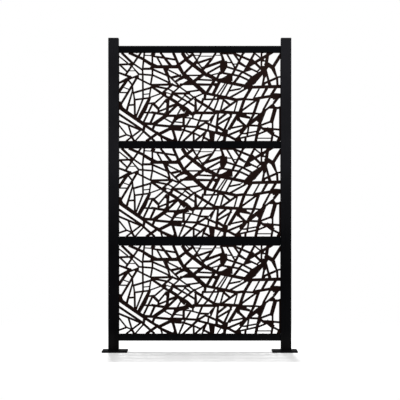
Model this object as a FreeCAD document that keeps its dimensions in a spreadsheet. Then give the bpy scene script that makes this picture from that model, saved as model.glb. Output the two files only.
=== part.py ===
import FreeCAD, Part
import Sketcher
import math
import os
import re

# A free-standing fence panel: two square posts on base plates, four rails between them, and three
# laser-cut sheets with folded edges that fill the bays. The origin is on the ground, midway between
# the posts. X runs along the fence, Y from front to back and Z up.

Vector = FreeCAD.Vector
Rotation = FreeCAD.Rotation
Placement = FreeCAD.Placement

# Driving sizes in millimetres
SIZES = {
    "bay_width": 997.5,
    "bay_height": 547.5,
    "ground_gap": 69,
    "top_reveal": 43.5,
    "post_size": 63.5,
    "post_wall": 2,
    "post_corner": 3,
    "least_corner": 0.3,
    "plate_size": 155,
    "plate_offset": 8,
    "plate_thickness": 10,
    "plate_corner": 6,
    "plate_chamfer": 1,
    "anchor_spacing": 115,
    "anchor_hole": 13,
    "weld_leg": 5,
    "weld_angle": 45,
    "cap_thickness": 5,
    "cap_chamfer": 1.5,
    "cap_plug_depth": 18,
    "cap_plug_wall": 2.5,
    "cap_fit": 0.2,
    "rail_height": 40,
    "lower_middle_rail_height": 50,
    "rail_depth": 40,
    "rail_wall": 1.5,
    "rail_corner": 2,
    "insert_length": 32,
    "insert_corner": 1.5,
    "bolt_diameter": 8,
    "bolt_length": 30,
    "bolt_head_diameter": 13,
    "bolt_head_height": 8,
    "bolt_socket": 6,
    "bolt_socket_depth": 4,
    "bolt_clearance": 0.5,
    "thread_clearance": 0.1,
    "washer_diameter": 16,
    "washer_thickness": 1.6,
    "access_hole": 18,
    "access_fit": 0.2,
    "access_flange": 22,
    "access_flange_thickness": 1.2,
    "access_plug_depth": 6,
    "access_plug_wall": 1.5,
    "panel_thickness": 1.5,
    "panel_return": 20,
    "panel_bend": 0.5,
    "panel_border": 3.5,
    "corner_relief": 1,
    "bar_weight": 1.48,
    "smallest_opening": 6,
    "shortest_side": 2.5,
    "least_turn": 3,
    "screw_inset": 110,
    "screw_diameter": 5,
    "screw_length": 12,
    "screw_clearance": 0.25,
    "screw_head_diameter": 9.5,
    "screw_head_top": 6.5,
    "screw_head_height": 2.75,
    "screw_socket": 3,
    "screw_socket_depth": 1.5,
    "nut_flange_diameter": 10,
    "nut_flange_thickness": 0.4,
    "nut_body_diameter": 7,
    "nut_body_length": 11,
}

# Rails from the ground up, each with the size that sets its height, and the bays between them
RAILS = [
    ("bottom_rail", "rail_height"),
    ("lower_middle_rail", "lower_middle_rail_height"),
    ("upper_middle_rail", "rail_height"),
    ("top_rail", "rail_height"),
]
BAYS = ["bottom_panel", "middle_panel", "top_panel"]

# The cut pattern is laid out on a sheet of this size and stretched to fit the opening of a bay.
# Each bar runs from x, z to x, z and has a width, or one width at each end. The ends were chosen
# by eye, measured from the lower left corner.
PATTERN_WIDTH = 990
PATTERN_HEIGHT = 539

LONG_BARS = [
    (387, 541, 413, 500, 16), (410, 500, 543, 399, 16), (540, 407, 612, 370, 18, 14),
    (605, 371, 768, 338, 14), (332, 541, 364, 468, 12), (357, 474, 401, 398, 18, 13),
    (396, 410, 532, 288, 18), (520, 294, 650, 268, 12), (640, 270, 725, 250, 14),
    (715, 252, 770, 258, 12), (872, 416, 816, 367, 20, 34), (826, 374, 772, 326, 34, 20),
    (765, 328, 995, 334, 12, 15), (193, 337, 308, 259, 11), (300, 268, 362, 230, 14),
    (353, 229, 403, 202, 15), (372, 214, 410, 188, 14, 26), (410, 188, 460, 156, 26, 10),
    (-5, 211, 158, 97, 17, 15), (-5, 166, 148, 63, 10), (-5, 123, 128, 68, 9), (148, 101, 243, 40, 12),
    (240, 38, 332, -8, 10, 17), (450, 172, 600, 171, 13, 12), (575, 180, 650, 176, 14),
    (640, 175, 760, 171, 13), (462, 259, 600, 174, 12), (208, 100, 300, 163, 16),
    (296, 164, 355, 220, 11), (215, 98, 320, 88, 11), (310, 82, 385, 78, 24, 26), (380, 90, 490, 84, 10),
]
UPPER_LEFT_BARS = [
    (14, 541, 85, 473, 11), (85, 475, 140, 437, 8), (-2, 521, 52, 477, 7), (-2, 468, 84, 472, 9),
    (58, 541, 150, 501, 12), (148, 499, 215, 459, 14), (133, 541, 40, 407, 9), (154, 541, 142, 425, 8),
    (144, 430, 146, 255, 8), (211, 541, 204, 520, 18), (203, 522, 204, 405, 8), (204, 408, 192, 341, 8),
    (154, 526, 203, 523, 5), (203, 520, 268, 513, 7), (229, 519, 265, 455, 8),
    (203, 455, 365, 455, 14, 15), (142, 442, 205, 443, 10), (205, 438, 292, 402, 8),
    (116, 410, 205, 403, 8), (203, 405, 305, 358, 8), (80, 456, 121, 408, 5, 9), (62, 430, 98, 430, 4),
    (2, 468, 47, 425, 8), (-2, 419, 75, 389, 10), (74, 385, 118, 402, 8), (-2, 355, 75, 392, 9, 16),
    (-3, 301, 50, 377, 13), (54, 375, 80, 343, 8), (79, 346, 84, 292, 8), (110, 391, 8, 222, 10),
    (108, 387, 200, 341, 8), (118, 408, 117, 384, 5), (18, 331, 66, 314, 5), (-2, 297, 55, 296, 6),
    (85, 294, 205, 329, 9), (195, 343, 318, 346, 10), (205, 337, 300, 319, 9), (147, 285, 186, 289, 5),
    (193, 324, 184, 262, 7), (184, 265, 262, 293, 6),
]
UPPER_MIDDLE_BARS = [
    (253, 541, 320, 456, 9, 13), (226, 517, 355, 497, 9), (276, 455, 300, 397, 16, 14),
    (297, 405, 314, 343, 9), (292, 440, 370, 401, 7), (318, 388, 382, 402, 11), (298, 407, 370, 336, 8),
    (342, 360, 398, 399, 11), (372, 336, 433, 372, 9), (372, 347, 482, 348, 9), (361, 463, 458, 537, 12),
    (395, 410, 483, 497, 11), (478, 496, 505, 541, 7), (446, 541, 474, 498, 8), (462, 525, 494, 525, 4),
    (411, 541, 434, 518, 5), (480, 484, 514, 440, 7), (395, 402, 515, 402, 7), (454, 361, 520, 411, 14),
    (472, 377, 590, 371, 8), (480, 345, 575, 345, 10), (256, 286, 332, 351, 9, 11),
    (316, 350, 372, 328, 9), (298, 320, 336, 299, 7), (330, 296, 368, 328, 8), (366, 335, 420, 297, 7),
    (322, 291, 437, 291, 10), (412, 300, 515, 314, 8), (430, 289, 460, 265, 7), (458, 265, 518, 292, 7),
    (272, 302, 326, 284, 5), (218, 232, 289, 292, 8), (334, 305, 312, 255, 13), (388, 262, 412, 287, 5),
    (398, 285, 434, 258, 8), (332, 290, 426, 236, 11, 7),
]
UPPER_RIGHT_BARS = [
    (478, 476, 568, 507, 9), (498, 520, 572, 520, 4), (594, 541, 566, 497, 9), (567, 500, 515, 438, 11),
    (512, 446, 638, 491, 12), (541, 415, 628, 463, 9), (566, 404, 618, 417, 6),
    (641, 491, 643, 452, 30, 32), (640, 455, 632, 416, 32, 14), (626, 541, 642, 486, 8, 14),
    (590, 526, 628, 525, 4), (618, 537, 705, 537, 9), (658, 541, 717, 439, 8), (645, 482, 692, 480, 6),
    (656, 456, 768, 421, 9), (700, 541, 735, 494, 9), (704, 537, 810, 493, 10), (692, 471, 724, 472, 5),
    (763, 541, 713, 440, 10), (713, 442, 692, 400, 11), (612, 421, 744, 398, 9), (600, 378, 616, 416, 10),
    (740, 400, 700, 350, 11), (590, 380, 540, 298, 13), (591, 350, 583, 336, 18),
    (624, 378, 575, 282, 14), (656, 360, 600, 281, 6), (668, 358, 617, 272, 7), (696, 350, 651, 264, 8),
    (677, 307, 746, 320, 8), (744, 321, 764, 334, 4), (675, 263, 781, 321, 9), (833, 541, 766, 421, 10),
    (790, 464, 790, 436, 18), (728, 486, 776, 456, 14, 9), (737, 402, 757, 422, 9),
    (760, 422, 818, 391, 9), (764, 425, 816, 441, 9), (798, 448, 854, 421, 8),
    (794, 458, 945, 546, 12, 13), (812, 501, 882, 434, 11), (828, 541, 874, 505, 7),
    (875, 541, 874, 440, 8), (876, 491, 908, 491, 7), (914, 541, 898, 430, 14), (874, 456, 903, 457, 6),
    (896, 480, 944, 450, 18), (947, 455, 1001, 541, 14), (939, 462, 967, 393, 20, 8),
    (896, 452, 919, 366, 10), (896, 430, 890, 392, 12), (846, 424, 872, 448, 7), (738, 399, 806, 367, 9),
    (892, 400, 879, 332, 9), (882, 349, 970, 387, 10), (966, 389, 995, 394, 8), (917, 369, 929, 335, 14),
    (970, 395, 974, 328, 10), (886, 334, 897, 352, 6), (812, 327, 769, 256, 13), (864, 327, 824, 256, 7),
    (910, 327, 876, 270, 12), (963, 327, 932, 276, 12),
]
LOWER_LEFT_BARS = [
    (-3, 240, 14, 203, 15), (45, 184, 80, 305, 11, 6), (55, 219, 95, 222, 8), (87, 298, 94, 253, 7),
    (94, 257, 96, 150, 9), (92, 252, 188, 264, 8), (146, 258, 102, 146, 8), (188, 266, 153, 190, 12, 19),
    (152, 192, 117, 128, 19, 16), (172, 228, 218, 233, 8), (207, 233, 146, 108, 9),
    (152, 174, 205, 172, 8), (196, 175, 286, 161, 11), (220, 172, 190, 106, 11, 10),
    (207, 230, 242, 195, 12), (238, 192, 292, 258, 8), (238, 178, 290, 199, 8), (145, 107, 215, 103, 12),
    (-2, 96, 44, 38, 7), (-2, 21, 46, 38, 8), (44, 38, 80, 24, 7), (55, 99, 78, 24, 8),
    (42, -2, 133, 67, 8), (74, 29, 92, -2, 10), (97, -2, 150, 58, 7), (157, 102, 147, 56, 12),
    (144, 63, 218, -2, 10), (243, 52, 165, -3, 12), (252, 40, 264, -2, 8), (218, 101, 205, 70, 11),
]
LOWER_MIDDLE_BARS = [
    (301, 258, 294, 160, 13), (297, 205, 354, 226, 11), (356, 158, 382, 204, 7), (352, 230, 392, 264, 8),
    (420, 240, 470, 209, 9), (467, 272, 393, 215, 9), (469, 268, 470, 172, 7, 15),
    (479, 180, 514, 230, 8), (507, 228, 517, 262, 10), (530, 290, 524, 252, 12), (270, 154, 365, 154, 11),
    (355, 157, 412, 167, 8), (318, 92, 356, 152, 9, 18), (335, 141, 428, 161, 17, 14),
    (396, 160, 396, 90, 11), (340, 117, 394, 111, 6), (274, 140, 324, 112, 7), (411, 98, 366, -2, 9),
    (410, 88, 442, 142, 8), (395, 143, 440, 140, 6), (438, 140, 496, 124, 7), (453, 166, 452, 138, 8),
    (511, 169, 475, 82, 9), (385, 70, 456, 47, 9), (389, -5, 492, 90, 9, 11), (453, 50, 502, 27, 8),
    (457, 50, 458, -2, 9), (463, -4, 543, 65, 9), (326, 78, 350, -2, 12), (242, 40, 327, 82, 14),
    (334, 2, 348, 20, 10),
]
LOWER_RIGHT_BARS = [
    (518, 254, 614, 256, 8), (600, 266, 640, 262, 14), (593, 282, 547, 205, 8), (548, 207, 509, 165, 8),
    (613, 262, 583, 187, 8), (644, 262, 621, 180, 8), (642, 252, 682, 219, 10), (628, 181, 724, 249, 10),
    (728, 252, 707, 178, 7), (592, 177, 561, 107, 8), (579, 154, 554, 122, 9), (492, 123, 552, 121, 9),
    (480, 80, 536, 115, 9), (526, 114, 606, 78, 10), (600, 88, 652, 57, 12), (550, 104, 545, 62, 8),
    (478, 80, 600, 48, 10), (609, 178, 600, 88, 9), (601, 95, 597, 48, 12), (606, 127, 658, 168, 10),
    (601, 97, 692, 151, 9), (692, 168, 647, 68, 9), (739, 176, 673, 68, 14), (672, 75, 765, 94, 8),
    (655, 72, 648, 24, 22), (650, 30, 646, -2, 14), (588, 55, 658, 30, 15), (601, -2, 629, 40, 6),
    (570, 60, 571, -2, 28, 18), (539, 67, 509, -2, 8), (511, 25, 560, 0, 10), (651, 26, 746, 66, 9),
    (660, 36, 726, 2, 11), (710, 1, 752, 43, 9), (733, 131, 766, 101, 13, 10), (727, 166, 735, 122, 15),
    (771, 260, 742, 178, 13), (763, 256, 836, 252, 9), (746, 180, 846, 252, 9),
    (861, 266, 824, 158, 13, 12), (822, 256, 932, 275, 12), (935, 280, 884, 184, 9),
    (894, 192, 859, 93, 18, 13), (892, 176, 795, 100, 16), (738, 169, 832, 169, 8),
    (828, 170, 886, 162, 8), (733, 160, 805, 141, 18, 10), (833, 173, 786, 90, 11), (798, 95, 866, 92, 9),
    (782, 97, 745, 43, 20, 14), (797, 98, 786, 22, 8), (746, 45, 788, 44, 7), (770, 45, 856, 60, 7),
    (733, 14, 846, 39, 8), (716, 4, 748, 14, 20), (777, 22, 775, -2, 10), (862, 98, 838, -2, 13),
    (857, 93, 903, 62, 11), (880, 74, 945, 71, 12), (904, 76, 949, 39, 18), (847, 38, 906, 62, 8),
    (864, 93, 944, 123, 9), (962, 210, 934, 108, 17), (943, 126, 943, 70, 8), (892, 182, 958, 234, 9),
    (914, 202, 958, 214, 10), (950, 231, 990, 284, 12), (945, 290, 956, 254, 18, 14),
    (928, 276, 996, 276, 21), (918, 204, 995, 202, 9), (944, 218, 970, 195, 8), (970, 199, 996, 210, 9),
    (938, 73, 995, 68, 9), (938, 43, 992, 14, 9), (944, 46, 936, -2, 10), (845, 16, 938, 16, 5),
    (991, 28, 974, -2, 12), (989, 196, 989, 24, 9),
]
BARS = (LONG_BARS + UPPER_LEFT_BARS + UPPER_MIDDLE_BARS + UPPER_RIGHT_BARS
        + LOWER_LEFT_BARS + LOWER_MIDDLE_BARS + LOWER_RIGHT_BARS)

# Corners between bars that stay solid, each given by its points x, z
WEBS = [
    (186, 452, 204, 468, 204, 447), (205, 480, 244, 460, 205, 462), (84, 392, 100, 392, 98, 381),
    (284, 366, 304, 362, 302, 348), (374, 371, 398, 394, 417, 374, 398, 381),
    (463, 484, 484, 482, 470, 462), (617, 404, 619, 420, 640, 414), (296, 448, 310, 448, 302, 436),
    (906, 456, 922, 456, 910, 440), (860, 421, 874, 436, 886, 434, 884, 402, 875, 404),
    (232, 178, 238, 196, 250, 190, 246, 176), (276, 238, 294, 250, 294, 228),
    (350, 124, 372, 138, 360, 150), (456, 152, 456, 168, 472, 166), (624, 52, 638, 58, 640, 48),
    (842, 124, 866, 142, 858, 110), (766, 162, 786, 166, 784, 154), (938, 70, 952, 66, 948, 52),
    (416, 350, 434, 350, 434, 364, 424, 364),
    (580, 344, 580, 355, 612, 356, 604, 344), (804, 491, 820, 484, 814, 478),
    (893, 410, 908, 408, 900, 386), (780, 326, 798, 326, 792, 313), (762, 541, 777, 541, 763, 528),
    (606, 362, 610, 382, 632, 386, 664, 404, 682, 411, 696, 410, 698, 366), (432, 262, 448, 262, 436, 248),
    (666, 172, 684, 172, 680, 158), (58, 466, 76, 468, 70, 455), (877, 508, 891, 505, 891, 492, 877, 492),
    (274, 170, 288, 184, 290, 168), (622, -2, 640, 10, 640, -2), (734, 56, 745, 76, 756, 78, 742, 54),
    (893, 188, 912, 204, 906, 190), (860, 62, 866, 78, 874, 76, 866, 60), (660, 62, 672, 76, 674, 64),
]

doc = FreeCAD.newDocument("fence_panel")
sheet = doc.addObject("Spreadsheet::Sheet", "sizes")
for row, (name, size) in enumerate(SIZES.items(), start=1):
    sheet.set(f"A{row}", name)
    sheet.set(f"B{row}", str(size))
    sheet.setAlias(f"B{row}", name)
doc.recompute()


def formula(text):
    """Turns the size names in a formula into references to the sheet."""
    return re.sub(r"[a-z_]+", lambda word: f"sizes.{word[0]}" if word[0] in SIZES else word[0], text)


def value(text):
    """Works out a formula with the sizes that the sheet holds now."""
    return float(sheet.evalExpression(formula(text)))


def bind(item, prop, text):
    """Ties one property of a document object to a formula."""
    item.setExpression(prop, formula(text))


def bind_place(item, x="0", z="0", rotation=Rotation()):
    """Turns a document object and ties its place to a formula along the fence and one for its height."""
    item.Placement = Placement(Vector(), rotation)
    bind(item, "Placement.Base.x", x)
    bind(item, "Placement.Base.z", z)


# Heights of the rails and of the bays between them, worked out upwards from the ground
LEVELS = {}
height_so_far = "ground_gap"
for position, (rail_name, rail_size) in enumerate(RAILS):
    LEVELS[rail_name] = height_so_far
    height_so_far += f" + {rail_size}"
    if position < len(BAYS):
        LEVELS[BAYS[position]] = height_so_far
        height_so_far += " + bay_height"
POST_TOP = f"{height_so_far} + top_reveal"
POST_CENTRE = "(bay_width + post_size) / 2"
PLATE_CENTRE = f"({POST_CENTRE} - plate_offset)"
RAIL_CENTRES = {name: f"{LEVELS[name]} + {size} / 2" for name, size in RAILS}

# Places of the panel screws: two in each side of a bay and three along its top and bottom
SIDE_SCREWS = ["screw_inset", "bay_height - screw_inset"]
EDGE_SCREWS = ["-(bay_width / 2 - screw_inset)", "0", "bay_width / 2 - screw_inset"]
BOLT_HOLE = "bolt_diameter + 2 * bolt_clearance"
NUT_HOLE = "nut_body_diameter + thread_clearance"


def add_body(name):
    body = doc.addObject("PartDesign::Body", name)
    body.Label = name
    return body


def add_sketch(body, role):
    """Adds a sketch on one of the body's own origin planes."""
    sketch = body.newObject("Sketcher::SketchObject", f"{body.Label}_sketch")
    plane = next(feature for feature in body.Origin.OriginFeatures if feature.Role == role)
    sketch.AttachmentSupport = [(plane, "")]
    sketch.MapMode = "FlatFace"
    return sketch


def add_dimension(sketch, kind, text, *points):
    """Adds a dimension to a sketch and ties it to a formula."""
    index = sketch.addConstraint(Sketcher.Constraint(kind, *points, value(text)))
    sketch.setExpression(f"Constraints[{index}]", formula(text))


def add_rounded_rectangle(sketch, width, height, radius):
    """Draws a rectangle with round corners about the sketch's origin."""
    side = value(width) / 2
    top = value(height) / 2
    bend = value(radius)
    flat_x = side - bend
    flat_y = top - bend
    edges = [
        (Vector(-flat_x, -top), Vector(flat_x, -top)),
        (Vector(side, -flat_y), Vector(side, flat_y)),
        (Vector(flat_x, top), Vector(-flat_x, top)),
        (Vector(-side, flat_y), Vector(-side, -flat_y)),
    ]
    corners = [
        Vector(flat_x, -flat_y),
        Vector(flat_x, flat_y),
        Vector(-flat_x, flat_y),
        Vector(-flat_x, -flat_y),
    ]
    lines = []
    arcs = []
    for quarter, (edge, corner) in enumerate(zip(edges, corners)):
        start_angle = (quarter - 1) * math.pi / 2
        circle = Part.Circle(corner, Vector(0, 0, 1), bend)
        lines.append(sketch.addGeometry(Part.LineSegment(*edge)))
        arcs.append(sketch.addGeometry(Part.ArcOfCircle(circle, start_angle, start_angle + math.pi / 2)))
    for quarter, (line, arc) in enumerate(zip(lines, arcs)):
        next_line = lines[(quarter + 1) % 4]
        sketch.addConstraint(Sketcher.Constraint("Tangent", line, 2, arc, 1))
        sketch.addConstraint(Sketcher.Constraint("Tangent", arc, 2, next_line, 1))
        sketch.addConstraint(Sketcher.Constraint("Vertical" if quarter % 2 else "Horizontal", line))
    for arc in arcs[1:]:
        sketch.addConstraint(Sketcher.Constraint("Equal", arcs[0], arc))
    sketch.addConstraint(Sketcher.Constraint("Symmetric", arcs[0], 3, arcs[2], 3, -1, 1))
    add_dimension(sketch, "Radius", radius, arcs[0])
    add_dimension(sketch, "DistanceX", width, lines[3], 1, lines[1], 1)
    add_dimension(sketch, "DistanceY", height, lines[0], 1, lines[2], 1)


def add_circle(sketch, x, y, diameter):
    """Draws a circle at x, y. A formula that starts with a minus is measured the other way."""
    centre = Vector(value(x), value(y))
    circle = sketch.addGeometry(Part.Circle(centre, Vector(0, 0, 1), value(diameter) / 2))
    add_dimension(sketch, "Diameter", diameter, circle)
    for kind, text, axis in (("DistanceX", x, -2), ("DistanceY", y, -1)):
        if text == "0":
            sketch.addConstraint(Sketcher.Constraint("PointOnObject", circle, 3, axis))
        elif text.startswith("-"):
            add_dimension(sketch, kind, text[1:], circle, 3, -1, 1)
        else:
            add_dimension(sketch, kind, text, -1, 1, circle, 3)


def inside_corner(corner, wall):
    """The radius inside a tube's corner, which never goes down to nothing."""
    return f"max({corner} - {wall}; least_corner)"


def add_pad(body, sketch, length, reverse=False, middle=False):
    pad = body.newObject("PartDesign::Pad", f"{body.Label}_pad")
    pad.Profile = sketch
    pad.Reversed = reverse
    pad.Midplane = middle
    bind(pad, "Length", length)
    doc.recompute()
    return pad


def add_pocket(body, sketch, reverse=False):
    """Cuts a sketch through everything on one side of its plane, and makes sure that it cuts."""
    volume_before = body.Shape.Volume
    pocket = body.newObject("PartDesign::Pocket", f"{body.Label}_pocket")
    pocket.Profile = sketch
    pocket.Type = "ThroughAll"
    pocket.Reversed = reverse
    doc.recompute()
    if body.Shape.Volume >= volume_before:
        raise ValueError(f"{body.Label}: the pocket cuts nothing")
    return pocket


def add_chamfer(body, size, wanted):
    """Bevels the edges of the body's last feature that the test picks."""
    base = body.Tip
    names = [f"Edge{number}" for number, edge in enumerate(base.Shape.Edges, start=1) if wanted(edge)]
    chamfer = body.newObject("PartDesign::Chamfer", f"{body.Label}_chamfer")
    chamfer.Base = (base, names)
    bind(chamfer, "Size", size)
    doc.recompute()
    return chamfer


def lies_at(height):
    """Makes a test for the edges that lie flat at one height of their own body."""
    return lambda edge: all(math.isclose(vertex.Z, value(height)) for vertex in edge.Vertexes)


def make_post(name, x, turn):
    """A square tube, with bolt and nut holes in its inner wall and access holes in its outer wall."""
    body = add_body(name)
    tube = add_sketch(body, "XY_Plane")
    add_rounded_rectangle(tube, "post_size", "post_size", "post_corner")
    inside = "post_size - 2 * post_wall"
    add_rounded_rectangle(tube, inside, inside, inside_corner("post_corner", "post_wall"))
    add_pad(body, tube, f"{POST_TOP} - plate_thickness")
    inner_holes = add_sketch(body, "YZ_Plane")
    access_holes = add_sketch(body, "YZ_Plane")
    for centre in RAIL_CENTRES.values():
        add_circle(inner_holes, "0", f"{centre} - plate_thickness", BOLT_HOLE)
        add_circle(access_holes, "0", f"{centre} - plate_thickness", "access_hole")
    for bay in BAYS:
        for up in SIDE_SCREWS:
            add_circle(inner_holes, "0", f"{LEVELS[bay]} + {up} - plate_thickness", NUT_HOLE)
    add_pocket(body, inner_holes, reverse=True)
    add_pocket(body, access_holes)
    bind_place(body, x=x, z="plate_thickness", rotation=Rotation(Vector(0, 0, 1), turn))
    return body


def make_base_plate(name, x):
    """A square plate with an anchor hole near each corner and a bevelled upper edge."""
    body = add_body(name)
    outline = add_sketch(body, "XY_Plane")
    add_rounded_rectangle(outline, "plate_size", "plate_size", "plate_corner")
    add_pad(body, outline, "plate_thickness")
    add_chamfer(body, "plate_chamfer", lies_at("plate_thickness"))
    holes = add_sketch(body, "XY_Plane")
    for across in ("-(anchor_spacing / 2)", "anchor_spacing / 2"):
        for along in ("-(anchor_spacing / 2)", "anchor_spacing / 2"):
            add_circle(holes, across, along, "anchor_hole")
    add_pocket(body, holes, reverse=True)
    bind_place(body, x=x)
    return body


def make_foot_weld(name, x):
    """The fillet weld round the foot of a post: a tapered collar with the post's outline cut out of it."""
    body = add_body(name)
    collar = add_sketch(body, "XY_Plane")
    outside = "post_size + 2 * weld_leg"
    add_rounded_rectangle(collar, outside, outside, "post_corner + weld_leg")
    pad = add_pad(body, collar, "weld_leg")
    bind(pad, "TaperAngle", "-weld_angle")
    post_outline = add_sketch(body, "XY_Plane")
    add_rounded_rectangle(post_outline, "post_size", "post_size", "post_corner")
    add_pocket(body, post_outline, reverse=True)
    bind_place(body, x=x, z="plate_thickness")
    return body


def make_post_cap(name, x):
    """A moulded cap: a flat lid the size of the post and a hollow plug that pushes into the tube."""
    body = add_body(name)
    lid = add_sketch(body, "XY_Plane")
    add_rounded_rectangle(lid, "post_size", "post_size", "post_corner")
    add_pad(body, lid, "cap_thickness")
    add_chamfer(body, "cap_chamfer", lies_at("cap_thickness"))
    plug = add_sketch(body, "XY_Plane")
    plug_size = "post_size - 2 * post_wall - 2 * cap_fit"
    plug_inside = f"{plug_size} - 2 * cap_plug_wall"
    plug_corner = inside_corner("post_corner", "post_wall")
    add_rounded_rectangle(plug, plug_size, plug_size, plug_corner)
    add_rounded_rectangle(plug, plug_inside, plug_inside, plug_corner)
    add_pad(body, plug, "cap_plug_depth", reverse=True)
    bind_place(body, x=x, z=POST_TOP)
    return body


def make_rail(name, height):
    """A rectangular tube that just fits between the posts, with nut holes towards its panels."""
    body = add_body(name)
    tube = add_sketch(body, "YZ_Plane")
    inside_depth = "rail_depth - 2 * rail_wall"
    inside_height = f"{height} - 2 * rail_wall"
    add_rounded_rectangle(tube, "rail_depth", height, "rail_corner")
    add_rounded_rectangle(tube, inside_depth, inside_height, inside_corner("rail_corner", "rail_wall"))
    add_pad(body, tube, "bay_width", middle=True)
    for has_panel, upwards in ((name != "top_rail", True), (name != "bottom_rail", False)):
        if has_panel:
            holes = add_sketch(body, "XY_Plane")
            for along in EDGE_SCREWS:
                add_circle(holes, along, "0", NUT_HOLE)
            add_pocket(body, holes, reverse=upwards)
    bind_place(body, z=RAIL_CENTRES[name])
    return body


def make_rail_insert(name, rail, height, side):
    """A metal plug pressed into the end of a rail, tapped for the bolt that holds the rail to the post."""
    body = add_body(name)
    block = add_sketch(body, "YZ_Plane")
    add_rounded_rectangle(block, "rail_depth - 2 * rail_wall", f"{height} - 2 * rail_wall", "insert_corner")
    add_circle(block, "0", "0", "bolt_diameter + thread_clearance")
    add_pad(body, block, "insert_length", reverse=side > 0)
    bind_place(body, x=f"{side} * bay_width / 2", z=RAIL_CENTRES[rail])
    return body


def add_cylinder(name, diameter, height, base="0"):
    cylinder = doc.addObject("Part::Cylinder", name)
    bind(cylinder, "Radius", f"({diameter}) / 2")
    bind(cylinder, "Height", height)
    bind(cylinder, "Placement.Base.z", base)
    return cylinder


def add_socket(name, across_flats, depth, base):
    """A hexagonal recess for a key."""
    socket = doc.addObject("Part::Prism", name)
    socket.Polygon = 6
    bind(socket, "Circumradius", f"{across_flats} / sqrt(3)")
    bind(socket, "Height", depth)
    bind(socket, "Placement.Base.z", base)
    return socket


def add_fuse(name, *pieces):
    fuse = doc.addObject("Part::MultiFuse", name)
    fuse.Shapes = list(pieces)
    return fuse


def add_cut(name, base, tool):
    cut = doc.addObject("Part::Cut", name)
    cut.Base = base
    cut.Tool = tool
    return cut


def make_rail_bolt():
    """A socket-head bolt that points along +Z, with the underside of its head at the origin."""
    shank = add_cylinder("bolt_shank", "bolt_diameter", "bolt_length")
    head = add_cylinder("bolt_head", "bolt_head_diameter", "bolt_head_height", "-bolt_head_height")
    socket = add_socket("bolt_recess", "bolt_socket", "bolt_socket_depth", "-bolt_head_height")
    return add_cut("rail_bolt", add_fuse("bolt_blank", shank, head), socket)


def make_bolt_washer():
    disc = add_cylinder("washer_disc", "washer_diameter", "washer_thickness")
    hole = add_cylinder("washer_hole", BOLT_HOLE, "washer_thickness")
    return add_cut("bolt_washer", disc, hole)


def make_access_plug():
    """A moulded plug for an access hole. It points out along +Z, with its flange on the origin's plane."""
    skirt_size = "access_hole - 2 * access_fit"
    hollow_size = f"{skirt_size} - 2 * access_plug_wall"
    flange = add_cylinder("plug_flange", "access_flange", "access_flange_thickness")
    skirt = add_cylinder("plug_skirt", skirt_size, "access_plug_depth", "-access_plug_depth")
    hollow = add_cylinder("plug_hollow", hollow_size, "access_plug_depth", "-access_plug_depth")
    return add_cut("access_plug", add_fuse("plug_blank", flange, skirt), hollow)


def make_panel_screw():
    """A button-head screw that points along +Z, with the underside of its head at the origin."""
    shank = add_cylinder("screw_shank", "screw_diameter", "screw_length")
    head = doc.addObject("Part::Cone", "screw_head")
    bind(head, "Radius1", "screw_head_top / 2")
    bind(head, "Radius2", "screw_head_diameter / 2")
    bind(head, "Height", "screw_head_height")
    bind(head, "Placement.Base.z", "-screw_head_height")
    socket = add_socket("screw_recess", "screw_socket", "screw_socket_depth", "-screw_head_height")
    return add_cut("panel_screw", add_fuse("screw_blank", shank, head), socket)


def make_rivet_nut():
    """A threaded nut set in a tube wall. It points into the tube along +Z, with its flange at the origin."""
    flange = add_cylinder("nut_flange", "nut_flange_diameter", "nut_flange_thickness")
    sleeve = add_cylinder("nut_sleeve", "nut_body_diameter", "nut_body_length", "nut_flange_thickness")
    whole_length = "nut_flange_thickness + nut_body_length"
    thread = add_cylinder("nut_thread", "screw_diameter + thread_clearance", whole_length)
    return add_cut("rivet_nut", add_fuse("nut_blank", flange, sleeve), thread)


def make_group(name, template, places):
    """Copies one fastener to each place, given as a point and the direction that the fastener points."""
    copies = []
    for point, direction in places:
        copy = template.Shape.copy()
        copy.Placement = Placement(point, Rotation(Vector(0, 0, 1), direction))
        copies.append(copy)
    group = doc.addObject("Part::Feature", name)
    group.Label = name
    group.Shape = Part.makeCompound(copies)
    return group


def flat_face(corners):
    return Part.Face(Part.makePolygon(corners + corners[:1]))


def bar_outline(bar, scale_x, scale_z):
    """The outline of one bar of the pattern, as a flat face on the front of the sheet."""
    start = Vector(bar[0] * scale_x, 0, bar[1] * scale_z)
    end = Vector(bar[2] * scale_x, 0, bar[3] * scale_z)
    weight = value("bar_weight")
    across = (end - start).cross(Vector(0, 1, 0)).normalize()
    start_half = across * (bar[4] * weight / 2)
    end_half = across * (bar[-1] * weight / 2)
    return flat_face([start + start_half, end + end_half, end - end_half, start - start_half])


def web_outline(web, scale_x, scale_z):
    """The outline of one solid corner between bars, in the same way."""
    return flat_face([Vector(x * scale_x, 0, z * scale_z) for x, z in zip(web[0::2], web[1::2])])


def tidy_corners(corners):
    """Drops corners that lie close to the one before, or that hardly turn."""
    shortest = value("shortest_side")
    least_bend = math.sin(math.radians(value("least_turn")))
    steps = zip(corners, corners[-1:] + corners)
    spaced = [corner for corner, previous in steps if (corner - previous).Length > shortest]
    kept = []
    if len(spaced) < 3:
        return kept
    for index, corner in enumerate(spaced):
        before = (corner - spaced[index - 1]).normalize()
        after = (spaced[(index + 1) % len(spaced)] - corner).normalize()
        if before.cross(after).Length > least_bend:
            kept.append(corner)
    return kept


def upright_rectangle(width, height):
    """A rectangle on the front of the sheet, with its lower left corner at the origin."""
    right = Vector(width, 0, 0)
    up = Vector(0, 0, height)
    return Part.makePolygon([Vector(), right, right + up, up, Vector()])


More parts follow.
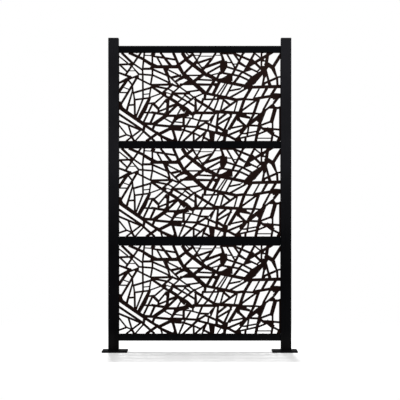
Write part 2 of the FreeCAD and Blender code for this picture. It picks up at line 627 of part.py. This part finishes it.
def pattern_openings(width, height):
    """The openings that the bars leave, as closed outlines. Those too small to cut stay solid."""
    window = Part.Face(upright_rectangle(width, height))
    scale_x = width / PATTERN_WIDTH
    scale_z = height / PATTERN_HEIGHT
    solids = [bar_outline(bar, scale_x, scale_z) for bar in BARS]
    solids += [web_outline(web, scale_x, scale_z) for web in WEBS]
    cells = window.cut(solids)
    outlines = []
    for cell in cells.Faces:
        corners = tidy_corners([vertex.Point for vertex in cell.OuterWire.OrderedVertexes])
        if len(corners) < 3:
            continue
        outline = Part.makePolygon(corners + corners[:1])
        if 4 * Part.Face(outline).Area / outline.Length > value("smallest_opening"):
            outlines.append(outline)
    return outlines


def folded_edge(distance, length):
    """One folded edge of a panel, below the panel's centre: a bend from the front face and a flat leg."""
    thickness = value("panel_thickness")
    inside = value("panel_bend")
    outside = inside + thickness
    depth = value("panel_return")
    half_turn = math.sqrt(0.5)
    centre = Vector(0, outside, -distance + outside)
    slant = Vector(0, -half_turn, -half_turn)
    front = Vector(0, -1, 0)
    down = Vector(0, 0, -1)
    heel = Vector(0, depth, -distance)
    profile = Part.Wire([
        Part.Arc(centre + front * outside, centre + slant * outside, centre + down * outside).toShape(),
        Part.makeLine(centre + down * outside, heel),
        Part.makeLine(heel, heel - down * thickness),
        Part.makeLine(heel - down * thickness, centre + down * inside),
        Part.Arc(centre + down * inside, centre + slant * inside, centre + front * inside).toShape(),
        Part.makeLine(centre + front * inside, centre + front * outside),
    ])
    profile.translate(Vector(-length / 2, 0, 0))
    return Part.Face(profile).extrude(Vector(length, 0, 0))


def bay_screw_places():
    """Points round a bay where screws go, from the middle of its lower edge, and their directions."""
    side = value("bay_width / 2")
    top = value("bay_height")
    places = []
    for up in SIDE_SCREWS:
        places.append((Vector(-side, 0, value(up)), Vector(-1, 0, 0)))
        places.append((Vector(side, 0, value(up)), Vector(1, 0, 0)))
    for along in EDGE_SCREWS:
        places.append((Vector(value(along), 0, 0), Vector(0, 0, -1)))
        places.append((Vector(value(along), 0, top), Vector(0, 0, 1)))
    return places


def make_panel_shape():
    """The laser-cut sheet with its four edges folded back, in a bay whose lower edge is at the origin."""
    gap = value("nut_flange_thickness")
    width = value("bay_width") - 2 * gap
    height = value("bay_height") - 2 * gap
    thickness = value("panel_thickness")
    outside = value("panel_bend + panel_thickness")
    flat_border = value("panel_border") - outside
    flat_width = width - 2 * outside
    flat_height = height - 2 * outside
    openings = pattern_openings(flat_width - 2 * flat_border, flat_height - 2 * flat_border)
    for opening in openings:
        opening.translate(Vector(flat_border, 0, flat_border))
    outlines = [upright_rectangle(flat_width, flat_height)] + openings
    face = Part.makeFace(outlines, "Part::FaceMakerBullseye")
    panel = face.extrude(Vector(0, thickness, 0))
    panel.translate(Vector(-flat_width / 2, 0, -flat_height / 2))
    relief = 2 * value("corner_relief")
    folds = []
    for quarter in range(4):
        if quarter % 2:
            fold = folded_edge(width / 2, flat_height - relief)
        else:
            fold = folded_edge(height / 2, flat_width - relief)
        fold.rotate(Vector(), Vector(0, 1, 0), 90 * quarter)
        folds.append(fold)
    panel = panel.fuse(folds)
    leg_middle = (outside + value("panel_return")) / 2
    panel.translate(Vector(0, -leg_middle, value("bay_height / 2")))
    hole_radius = value("screw_diameter / 2 + screw_clearance")
    reach = gap + 2 * thickness
    holes = [Part.makeCylinder(hole_radius, reach, point - direction * reach, direction)
             for point, direction in bay_screw_places()]
    return panel.cut(holes).Solids[0]


def make_panel(name, shape):
    panel = doc.addObject("Part::Feature", name)
    panel.Label = name
    panel.Shape = shape.copy()
    panel.Placement = Placement(Vector(0, 0, value(LEVELS[name])), Rotation())
    return panel


# Posts, feet and caps
nodes = []
for side, sign, turn in (("left", "-", 0), ("right", "", 180)):
    nodes.append(make_post(f"post_{side}", sign + POST_CENTRE, turn))
    nodes.append(make_base_plate(f"base_plate_{side}", sign + PLATE_CENTRE))
    nodes.append(make_foot_weld(f"foot_weld_{side}", sign + POST_CENTRE))
    nodes.append(make_post_cap(f"post_cap_{side}", sign + POST_CENTRE))

# Rails and the inserts in their ends
for rail_name, rail_size in RAILS:
    nodes.append(make_rail(rail_name, rail_size))
    nodes.append(make_rail_insert(f"{rail_name}_insert_left", rail_name, rail_size, -1))
    nodes.append(make_rail_insert(f"{rail_name}_insert_right", rail_name, rail_size, 1))

# Bolts from inside the posts, reached through holes that plugs close
bolt = make_rail_bolt()
washer = make_bolt_washer()
access_plug = make_access_plug()
screw = make_panel_screw()
rivet_nut = make_rivet_nut()
doc.recompute()
for side, sign in (("left", -1), ("right", 1)):
    outward = Vector(sign, 0, 0)
    seat = outward * value("bay_width / 2 + post_wall + washer_thickness")
    outer_face = outward * value("bay_width / 2 + post_size")
    heights = [Vector(0, 0, value(centre)) for centre in RAIL_CENTRES.values()]
    bolt_places = [(seat + up, -outward) for up in heights]
    plug_places = [(outer_face + up, outward) for up in heights]
    nodes.append(make_group(f"rail_bolts_{side}", bolt, bolt_places))
    nodes.append(make_group(f"bolt_washers_{side}", washer, bolt_places))
    nodes.append(make_group(f"access_plugs_{side}", access_plug, plug_places))

# Panels, each held by screws through its folded edges into nuts set in the frame
panel_shape = make_panel_shape()
for name in BAYS:
    lift = Vector(0, 0, value(LEVELS[name]))
    nut_depth = value("nut_flange_thickness")
    head_depth = value("nut_flange_thickness + panel_thickness")
    screw_places = [(lift + point - way * head_depth, way) for point, way in bay_screw_places()]
    nut_places = [(lift + point - way * nut_depth, way) for point, way in bay_screw_places()]
    nodes.append(make_panel(name, panel_shape))
    nodes.append(make_group(f"{name}_screws", screw, screw_places))
    nodes.append(make_group(f"{name}_nuts", rivet_nut, nut_places))

doc.recompute()
for item in doc.Objects:
    if "Invalid" in item.State or "Error" in item.State:
        raise RuntimeError(f"{item.Label} failed: {item.State}")
for node in nodes:
    if node.Shape.isNull() or not node.Shape.isValid():
        raise RuntimeError(f"{node.Label} has no valid shape")
os.makedirs("parts", exist_ok=True)
for node in nodes:
    node.Shape.exportStep(f"parts/{node.Label}.step")
print(len(nodes), "sub-parts written")
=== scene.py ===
import math

import bpy
from mathutils import Matrix, Vector, noise


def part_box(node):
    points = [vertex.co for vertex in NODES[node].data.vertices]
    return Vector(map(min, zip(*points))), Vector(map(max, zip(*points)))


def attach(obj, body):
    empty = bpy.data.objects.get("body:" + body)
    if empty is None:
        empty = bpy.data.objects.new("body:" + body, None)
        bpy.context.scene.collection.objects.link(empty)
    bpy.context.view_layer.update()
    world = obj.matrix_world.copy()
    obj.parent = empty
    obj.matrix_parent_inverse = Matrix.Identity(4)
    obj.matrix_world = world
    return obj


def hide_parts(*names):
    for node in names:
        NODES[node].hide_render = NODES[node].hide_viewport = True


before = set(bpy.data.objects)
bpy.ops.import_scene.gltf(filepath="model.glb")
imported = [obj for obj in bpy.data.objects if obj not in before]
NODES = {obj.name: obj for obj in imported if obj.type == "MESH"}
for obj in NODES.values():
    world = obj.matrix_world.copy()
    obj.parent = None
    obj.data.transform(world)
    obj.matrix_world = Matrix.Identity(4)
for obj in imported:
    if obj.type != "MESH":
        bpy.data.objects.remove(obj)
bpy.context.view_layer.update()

# Looks for the fence panel: coatings for its frame and cut sheets, rippled weld beads at its feet,
# and a white studio with the soft shadow on the floor in front of it. All lengths are in metres.
# The origin is on the ground, midway between the posts, and the front faces -Y.

# Camera
CAMERA_PLACE = (0.0014, -9.4, 0.934)
CAMERA_LENS = 137.4

# Weld beads: the post's rounded corner, the length of a ripple, samples along it and steps across the bead
POST_CORNER = 0.003
WELD_STEP = 0.0032
WELD_SAMPLES = 6
WELD_PROFILE = 8
# The shares of a bead's size that ripples and slow swelling take, the swelling's pace and the ripples' bow
WELD_RIPPLE = 0.07
WELD_SWELL = 0.05
WELD_SWELL_PACE = 90
WELD_BOW = 0.4
# The bulge of a bead's section, where 1 is round and 2 is flat, and how far its hidden edges sink in
WELD_BULGE = 1.35
WELD_SINK = 0.0002

# Masks: the span of most noise values, the cosines of an edge's turn and the slopes that count as upward
NOISE_SPAN = (0.3, 0.7)
EDGE_COSINES = (0.995, 0.80)
EDGE_SAMPLES = 6
UPWARD_SLOPES = (0.55, 0.95)

# The sockets of a mix node that take and give colours
MIX_COLOURS = (6, 7)
MIX_RESULT = 2

# Powder coats: the clouds' share of the mottling, how far roughness varies and how much rubbing smooths
CLOUD_SHARE = 0.6
ROUGHNESS_SPREAD = 0.05
RUB_POLISH = 0.12

# Weather and painted light: the heights between which coats turn paler as painted light towards the top and
# splashes from the ground fade in, and the dust
PAINTED_LIGHT_HEIGHTS = (0.6, 1.3)
SPLASH_HEIGHTS = (0.16, 0.02)
SPLASHED_DUST = (0.018, 0.036)
SETTLED_DUST = (0.002, 0.006)
DUST_COLOUR = (0.20, 0.19, 0.18)
DUST_ROUGHNESS = 5.0

# Lamps: places, the points that they are aimed at, powers and sizes
KEY_PLACE = (-0.05, 1.06, 3.5)
KEY_TARGET = (0.0, 0.0, 0.0)
KEY_POWER = 2.8
KEY_ANGLE = math.radians(2.5)
FRONT_PLACE = (1.0, -1.3, 2.7)
FRONT_TARGET = (0.35, 0.0, 1.75)
FRONT_POWER = 18
FRONT_SIZE = 0.9
SIDE_PLACE = Vector((2.6, 0.9, 1.4))
SIDE_TARGET = Vector((0.5, 0.0, 1.0))
SIDE_POWER = 36
SIDE_SIZE = 1.4

# Studio
WORLD_LIGHT = 0.3
FLOOR_SIZE = 60.0
FLOOR_DROP = 0.0002
FLOOR_COLOUR = (0.92, 0.92, 0.92, 1)
FLOOR_CLEAR = 0.32
FLOOR_FADE = (1.0, 2.6)


def start_material(name):
    """Makes a material, and gives it with its node tree and its surface shader."""
    material = bpy.data.materials.new(name)
    material.use_nodes = True
    return material, material.node_tree, material.node_tree.nodes["Principled BSDF"]


def feed(tree, socket, source):
    """Sets a socket to a value, or links it to another node's output."""
    if isinstance(source, bpy.types.NodeSocket):
        tree.links.new(source, socket)
    else:
        socket.default_value = source


def object_coordinates(tree, stretch=(1, 1, 1)):
    """Places on the piece in its own frame, stretched along the axes."""
    place = tree.nodes.new("ShaderNodeTexCoord").outputs["Object"]
    if stretch == (1, 1, 1):
        return place
    mapping = tree.nodes.new("ShaderNodeMapping")
    mapping.inputs["Scale"].default_value = stretch
    tree.links.new(place, mapping.inputs["Vector"])
    return mapping.outputs["Vector"]


def add_noise(tree, scale, detail=2.0, roughness=0.5, stretch=(1, 1, 1)):
    node = tree.nodes.new("ShaderNodeTexNoise")
    tree.links.new(object_coordinates(tree, stretch), node.inputs["Vector"])
    node.inputs["Scale"].default_value = scale
    node.inputs["Detail"].default_value = detail
    node.inputs["Roughness"].default_value = roughness
    return node.outputs["Fac"]


def add_range(tree, source, low, high, to_low=0.0, to_high=1.0):
    """Maps low..high of the source smoothly onto to_low..to_high."""
    node = tree.nodes.new("ShaderNodeMapRange")
    node.interpolation_type = "SMOOTHSTEP"
    tree.links.new(source, node.inputs["Value"])
    for name, number in (("From Min", low), ("From Max", high), ("To Min", to_low), ("To Max", to_high)):
        node.inputs[name].default_value = number
    return node.outputs["Result"]


def add_math(tree, operation, first, second):
    node = tree.nodes.new("ShaderNodeMath")
    node.operation = operation
    feed(tree, node.inputs[0], first)
    feed(tree, node.inputs[1], second)
    return node.outputs["Value"]


def add_mix(tree, factor, first, second):
    """Mixes two colours. A colour is a tuple of three linear values, or a node's output."""
    node = tree.nodes.new("ShaderNodeMix")
    node.data_type = "RGBA"
    feed(tree, node.inputs["Factor"], factor)
    for socket, colour in zip(MIX_COLOURS, (first, second)):
        feed(tree, node.inputs[socket], (*colour, 1) if isinstance(colour, tuple) else colour)
    return node.outputs[MIX_RESULT]


def add_bump(tree, height, strength, depth, below=None):
    node = tree.nodes.new("ShaderNodeBump")
    node.inputs["Strength"].default_value = strength
    node.inputs["Distance"].default_value = depth
    tree.links.new(height, node.inputs["Height"])
    if below is not None:
        tree.links.new(below, node.inputs["Normal"])
    return node.outputs["Normal"]


def edge_mask(tree, radius):
    """Is 1 near an edge of the piece and 0 on its flats."""
    bevel = tree.nodes.new("ShaderNodeBevel")
    bevel.samples = EDGE_SAMPLES
    bevel.inputs["Radius"].default_value = radius
    geometry = tree.nodes.new("ShaderNodeNewGeometry")
    turn = tree.nodes.new("ShaderNodeVectorMath")
    turn.operation = "DOT_PRODUCT"
    tree.links.new(bevel.outputs["Normal"], turn.inputs[0])
    tree.links.new(geometry.outputs["Normal"], turn.inputs[1])
    return add_range(tree, turn.outputs["Value"], *EDGE_COSINES)


def upward_mask(tree):
    """Is 1 on surfaces that face up, where dust settles."""
    geometry = tree.nodes.new("ShaderNodeNewGeometry")
    split = tree.nodes.new("ShaderNodeSeparateXYZ")
    tree.links.new(geometry.outputs["Normal"], split.inputs["Vector"])
    return add_range(tree, split.outputs["Z"], *UPWARD_SLOPES)


def height_mask(tree, low, high):
    """Rises from 0 at the height low to 1 at the height high, or falls where low is the upper one."""
    split = tree.nodes.new("ShaderNodeSeparateXYZ")
    tree.links.new(object_coordinates(tree), split.inputs["Vector"])
    return add_range(tree, split.outputs["Z"], low, high)


def powder_coat(name, dark, light, worn, wear_radius, roughness, sheen, painted_top_light=1.0):
    """A baked powder coating with orange peel, faint clouding, rain streaks, dust and rubbed edges.

    The last argument sets how much paler the coat is towards the top: painted light, standing in for the
    light that falls on the upper part.
    """
    material, tree, shader = start_material(name)
    clouds = add_noise(tree, scale=3.2, detail=4)
    grain = add_noise(tree, scale=620, detail=3, roughness=0.6)
    streaks = add_noise(tree, scale=38, detail=4, stretch=(1, 1, 0.035))
    tone = add_math(tree, "MULTIPLY", add_range(tree, clouds, *NOISE_SPAN), CLOUD_SHARE)
    tone = add_math(tree, "ADD", tone, add_range(tree, grain, 0.25, 0.75, 0.0, 1 - CLOUD_SHARE))
    colour = add_mix(tree, tone, dark, light)
    # Painted light: a paler copy of the coat, mixed in towards the top where more light falls
    painted_top_colour = add_mix(tree, tone, tuple(painted_top_light * channel for channel in dark),
                       tuple(painted_top_light * channel for channel in light))
    colour = add_mix(tree, height_mask(tree, *PAINTED_LIGHT_HEIGHTS), colour, painted_top_colour)

    upward = upward_mask(tree)
    settled = add_math(tree, "MULTIPLY", upward, add_range(tree, clouds, 0.35, 0.65, *SETTLED_DUST))
    upright = add_math(tree, "SUBTRACT", 1.0, upward)
    splash = add_math(tree, "MULTIPLY", upright, add_range(tree, streaks, 0.35, 0.7, *SPLASHED_DUST))
    splash = add_math(tree, "MULTIPLY", splash, height_mask(tree, *SPLASH_HEIGHTS))
    dust = add_math(tree, "ADD", settled, splash)
    colour = add_mix(tree, dust, colour, DUST_COLOUR)

    patches = add_range(tree, clouds, 0.42, 0.62, 0.15, 0.8)
    rub = add_math(tree, "MULTIPLY", edge_mask(tree, wear_radius), patches)
    colour = add_mix(tree, rub, colour, worn)
    tree.links.new(colour, shader.inputs["Base Color"])

    smoothest = roughness - ROUGHNESS_SPREAD
    roughest = roughness + ROUGHNESS_SPREAD
    rough = add_range(tree, streaks, *NOISE_SPAN, smoothest, roughest)
    rough = add_math(tree, "ADD", rough, add_math(tree, "MULTIPLY", dust, DUST_ROUGHNESS))
    rough = add_math(tree, "SUBTRACT", rough, add_math(tree, "MULTIPLY", rub, RUB_POLISH))
    tree.links.new(rough, shader.inputs["Roughness"])

    peel = add_bump(tree, add_noise(tree, scale=260, detail=2), strength=0.25, depth=0.0004)
    relief = add_bump(tree, grain, strength=0.3, depth=0.0002, below=peel)
    tree.links.new(relief, shader.inputs["Normal"])
    shader.inputs["Specular IOR Level"].default_value = sheen
    return material


def moulded_plastic(name):
    """Black polyethylene with a fine moulded grain and a slightly paler, scuffed rim."""
    dark = (0.005, 0.005, 0.0055)
    light = (0.0095, 0.0095, 0.010)
    scuffed = (0.020, 0.020, 0.021)
    material, tree, shader = start_material(name)
    clouds = add_noise(tree, scale=9, detail=4)
    grain = add_noise(tree, scale=900, detail=2, roughness=0.65)
    colour = add_mix(tree, add_range(tree, clouds, *NOISE_SPAN), dark, light)
    patches = add_range(tree, clouds, 0.4, 0.6, 0.2, 0.8)
    scuff = add_math(tree, "MULTIPLY", edge_mask(tree, radius=0.0012), patches)
    colour = add_mix(tree, scuff, colour, scuffed)
    tree.links.new(colour, shader.inputs["Base Color"])
    tree.links.new(add_range(tree, grain, *NOISE_SPAN, 0.46, 0.60), shader.inputs["Roughness"])
    tree.links.new(add_bump(tree, grain, strength=0.35, depth=0.00015), shader.inputs["Normal"])
    shader.inputs["Specular IOR Level"].default_value = 0.02
    return material


def zinc_plate(name):
    """Bright zinc plating with spangle, cloudy passivation and turned edges."""
    grey = (0.42, 0.42, 0.43)
    straw = (0.60, 0.59, 0.55)
    turned = (0.72, 0.72, 0.72)
    material, tree, shader = start_material(name)
    clouds = add_noise(tree, scale=140, detail=4)
    spangle = add_noise(tree, scale=900, detail=3)
    colour = add_mix(tree, add_range(tree, clouds, *NOISE_SPAN), grey, straw)
    colour = add_mix(tree, edge_mask(tree, radius=0.0006), colour, turned)
    tree.links.new(colour, shader.inputs["Base Color"])
    tree.links.new(add_range(tree, spangle, *NOISE_SPAN, 0.26, 0.44), shader.inputs["Roughness"])
    tree.links.new(add_bump(tree, spangle, strength=0.2, depth=0.0001), shader.inputs["Normal"])
    shader.inputs["Metallic"].default_value = 1.0
    return material


def extruded_alloy(name):
    """Mill-finish aluminium with fine lines along the extrusion, which runs in X."""
    dull = (0.55, 0.55, 0.56)
    bright = (0.68, 0.68, 0.68)
    material, tree, shader = start_material(name)
    lines = add_noise(tree, scale=900, detail=3, stretch=(0.02, 1, 1))
    clouds = add_noise(tree, scale=60, detail=3)
    colour = add_mix(tree, add_range(tree, clouds, *NOISE_SPAN), dull, bright)
    tree.links.new(colour, shader.inputs["Base Color"])
    tree.links.new(add_range(tree, lines, *NOISE_SPAN, 0.30, 0.48), shader.inputs["Roughness"])
    tree.links.new(add_bump(tree, lines, strength=0.25, depth=0.0001), shader.inputs["Normal"])
    shader.inputs["Metallic"].default_value = 1.0
    return material


def black_oxide(name):
    """Blackened screw steel, rubbed brighter along its edges."""
    dark = (0.012, 0.012, 0.013)
    light = (0.026, 0.025, 0.025)
    rubbed = (0.14, 0.14, 0.14)
    material, tree, shader = start_material(name)
    clouds = add_noise(tree, scale=220, detail=4)
    grain = add_noise(tree, scale=1400, detail=2)
    colour = add_mix(tree, add_range(tree, clouds, *NOISE_SPAN), dark, light)
    rub = add_math(tree, "MULTIPLY", edge_mask(tree, radius=0.0004), 0.5)
    colour = add_mix(tree, rub, colour, rubbed)
    tree.links.new(colour, shader.inputs["Base Color"])
    tree.links.new(add_range(tree, clouds, *NOISE_SPAN, 0.36, 0.52), shader.inputs["Roughness"])
    tree.links.new(add_bump(tree, grain, strength=0.2, depth=0.0001), shader.inputs["Normal"])
    shader.inputs["Metallic"].default_value = 0.6
    return material


def post_outline(low, high, radius, samples):
    """Points and outward directions at even steps round a square tube with rounded corners."""
    middle = (low + high) / 2
    half = (high.x - low.x) / 2
    straight = 2 * (half - radius)
    quarter = math.pi / 2 * radius
    length = 4 * (straight + quarter)
    points = []
    centre = Vector((middle.x, middle.y, 0))
    for number in range(samples):
        side, along = divmod(length * number / samples, straight + quarter)
        turn = side * math.pi / 2
        if along < straight:
            spot = Vector((along - straight / 2, -half, 0))
            out = Vector((0, -1, 0))
        else:
            angle = (along - straight) / radius
            out = Vector((math.sin(angle), -math.cos(angle), 0))
            spot = Vector((straight / 2, -half + radius, 0)) + out * radius
        spin = Matrix.Rotation(turn, 3, "Z")
        points.append((centre + spin @ spot, spin @ out))
    return points


def make_weld_bead(side, material):
    """A rippled fillet bead round the foot of a post, in the place of the plain weld."""
    weld_low, weld_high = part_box("foot_weld_" + side)
    leg = weld_high.z - weld_low.z
    inset = Vector((leg, leg, 0))
    outline_low = weld_low + inset
    outline_high = weld_high - inset
    ripples = round(4 * (outline_high.x - outline_low.x) / WELD_STEP)
    outline = post_outline(outline_low, outline_high, POST_CORNER, ripples * WELD_SAMPLES)
    verts = []
    faces = []
    for number, (spot, out) in enumerate(outline):
        step = number / WELD_SAMPLES
        swell = noise.noise(Vector((spot.x, spot.y, 0)) * WELD_SWELL_PACE)
        verts.append((*(spot - out * WELD_SINK)[:2], weld_low.z - WELD_SINK))
        for rung in range(WELD_PROFILE + 1):
            angle = math.pi / 2 * rung / WELD_PROFILE
            bow = math.sin(2 * angle)
            wave = (step + WELD_BOW * bow) % 1
            reach = leg * (1 - WELD_RIPPLE - WELD_SWELL)
            reach *= 1 + bow * (WELD_RIPPLE * (1 - wave) + WELD_SWELL * swell)
            across = reach * math.cos(angle) ** WELD_BULGE
            rise = reach * math.sin(angle) ** WELD_BULGE
            place = spot + out * (across if rung < WELD_PROFILE else -WELD_SINK)
            verts.append((place.x, place.y, weld_low.z + (rise if rung else -WELD_SINK)))
    ring = WELD_PROFILE + 2
    for number in range(len(outline)):
        here = number * ring
        there = (number + 1) % len(outline) * ring
        for rung in range(ring):
            after = (rung + 1) % ring
            faces.append((here + rung, there + rung, there + after, here + after))
    mesh = bpy.data.meshes.new("weld_bead_" + side)
    mesh.from_pydata(verts, [], faces)
    mesh.polygons.foreach_set("use_smooth", [True] * len(faces))
    mesh.materials.append(material)
    bead = bpy.data.objects.new("weld_bead_" + side, mesh)
    bpy.context.scene.collection.objects.link(bead)
    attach(bead, "root")
    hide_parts("foot_weld_" + side)


def dress_nodes():
    """Gives every node the material of its slot. Rails take a cooler, darker copy of the frame's coat."""
    coats = {
        # Painted light: the frame's coat is painted paler towards the tops of the posts, for the light that
        # falls there
        "frame_coat": powder_coat(
            "charcoal_coat", dark=(0.0027, 0.0027, 0.0032), light=(0.0049, 0.0049, 0.0057),
            worn=(0.026, 0.026, 0.027), wear_radius=0.0015, roughness=0.56, sheen=0.003, painted_top_light=3.1),
        "rail_coat": powder_coat(
            "blue_black_coat", dark=(0.0022, 0.0023, 0.0028), light=(0.0040, 0.0042, 0.0050),
            worn=(0.014, 0.014, 0.016), wear_radius=0.0015, roughness=0.56, sheen=0.01),
        "panel_coat": powder_coat(
            "bronze_black_coat", dark=(0.0098, 0.0047, 0.0039), light=(0.0154, 0.0078, 0.0064),
            worn=(0.036, 0.024, 0.020), wear_radius=0.0005, roughness=0.60, sheen=0.015),
        "cap_plastic": moulded_plastic("black_plastic"),
        "plated_steel": zinc_plate("zinc"),
        "insert_alloy": extruded_alloy("mill_alloy"),
        "black_screw": black_oxide("blackened_steel"),
    }
    for name, node in NODES.items():
        slot = node.material_slots[0].material.name
        if name.endswith("_rail"):
            slot = "rail_coat"
        node.material_slots[0].material = coats[slot]
    return coats


def add_light(name, kind, place, target, power):
    """Adds a lamp that the camera doesn't see, aimed from a place at a target."""
    lamp = bpy.data.lights.new(name, kind)
    lamp.energy = power
    light = bpy.data.objects.new(name, lamp)
    light.location = place
    aim = Vector(target) - Vector(place)
    light.rotation_euler = aim.to_track_quat("-Z", "Y").to_euler()
    light.visible_camera = False
    bpy.context.scene.collection.objects.link(light)
    return lamp


def add_soft_light(name, place, target, power, size):
    """Adds a round lamp of the given size."""
    lamp = add_light(name, "AREA", place, target, power)
    lamp.shape = "DISK"
    lamp.size = size


def make_lights():
    """A distant key from above and behind, a lamp in front of the right post's top and one on each side."""
    key = add_light("overhead", "SUN", KEY_PLACE, KEY_TARGET, KEY_POWER)
    key.angle = KEY_ANGLE
    add_soft_light("front_right", FRONT_PLACE, FRONT_TARGET, FRONT_POWER, FRONT_SIZE)
    for name, side in (("side_left", -1), ("side_right", 1)):
        mirror = Vector((side, 1, 1))
        add_soft_light(name, SIDE_PLACE * mirror, SIDE_TARGET * mirror, SIDE_POWER, SIDE_SIZE)


def background_rays(tree):
    """Is 1 for rays from the camera and for those that mirror or pass through a surface."""
    path = tree.nodes.new("ShaderNodeLightPath")
    seen = add_math(tree, "MAXIMUM", path.outputs["Is Camera Ray"], path.outputs["Is Glossy Ray"])
    return add_math(tree, "MAXIMUM", seen, path.outputs["Is Transmission Ray"])


def make_world():
    """A white background that lights the object less than it shows."""
    world = bpy.data.worlds.new("white_studio")
    world.use_nodes = True
    tree = world.node_tree
    background = tree.nodes["Background"]
    background.inputs["Color"].default_value = (1, 1, 1, 1)
    strength = add_range(tree, background_rays(tree), 0, 1, WORLD_LIGHT, 1.0)
    tree.links.new(strength, background.inputs["Strength"])
    bpy.context.scene.world = world


def make_floor():
    """A white floor that shows the soft shadow near the object and melts into the background further off."""
    half = FLOOR_SIZE / 2
    corners = ((-half, -half), (half, -half), (half, half), (-half, half))
    mesh = bpy.data.meshes.new("floor")
    mesh.from_pydata([(x, y, -FLOOR_DROP) for x, y in corners], [], [(0, 1, 2, 3)])
    floor = bpy.data.objects.new("floor", mesh)
    bpy.context.scene.collection.objects.link(floor)
    material = bpy.data.materials.new("white_floor")
    material.use_nodes = True
    tree = material.node_tree
    tree.nodes.remove(tree.nodes["Principled BSDF"])
    matt = tree.nodes.new("ShaderNodeBsdfDiffuse")
    matt.inputs["Color"].default_value = FLOOR_COLOUR
    white = tree.nodes.new("ShaderNodeEmission")
    distance = tree.nodes.new("ShaderNodeVectorMath")
    distance.operation = "LENGTH"
    tree.links.new(object_coordinates(tree), distance.inputs[0])
    clear = add_range(tree, distance.outputs["Value"], *FLOOR_FADE, FLOOR_CLEAR, 1.0)
    mix = tree.nodes.new("ShaderNodeMixShader")
    tree.links.new(add_math(tree, "MULTIPLY", clear, background_rays(tree)), mix.inputs["Fac"])
    tree.links.new(matt.outputs["BSDF"], mix.inputs[1])
    tree.links.new(white.outputs["Emission"], mix.inputs[2])
    tree.links.new(mix.outputs["Shader"], tree.nodes["Material Output"].inputs["Surface"])
    mesh.materials.append(material)


def make_camera():
    """A long lens that looks straight at the front."""
    lens = bpy.data.cameras.new("camera")
    lens.lens = CAMERA_LENS
    camera = bpy.data.objects.new("camera", lens)
    camera.location = CAMERA_PLACE
    camera.rotation_euler = (math.pi / 2, 0, 0)
    bpy.context.scene.collection.objects.link(camera)
    bpy.context.scene.camera = camera


COATS = dress_nodes()
for post_side in ("left", "right"):
    make_weld_bead(post_side, COATS["frame_coat"])
make_camera()
make_world()
make_floor()
make_lights()
bpy.context.scene.view_settings.view_transform = "Standard"
